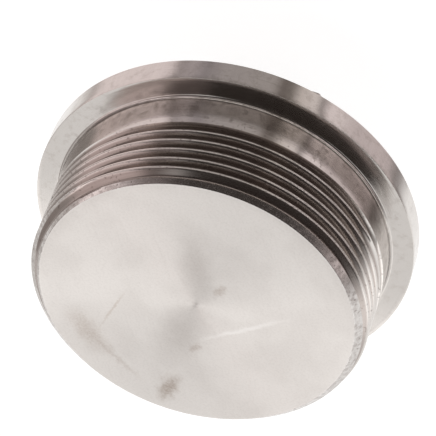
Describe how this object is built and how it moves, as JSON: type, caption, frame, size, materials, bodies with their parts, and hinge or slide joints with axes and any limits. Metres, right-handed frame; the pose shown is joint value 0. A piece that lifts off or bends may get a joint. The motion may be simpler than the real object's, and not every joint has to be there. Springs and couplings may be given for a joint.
{
  "type": "hexagon head screw plug with collar",
  "caption": "Solid steel screw plug: closed plain end face, pipe-threaded shank with a plain neck, wide collar with a flat sealing face, and a hexagon head.",
  "frame": {"origin": "centre of the hexagon head's end face, at the lowest point of the part", "axes": "+Z along the thread axis, out of the closed threaded end; two of the head's flats are square to X"},
  "size_m": [0.068, 0.068, 0.04],
  "materials": {
    "turned_steel": "fine-turned, natural grey, with polished thread crests and a satin end face"
  },
  "bodies": {
    "root": {"plug_body": "turned_steel"}
  },
  "joints": []
}
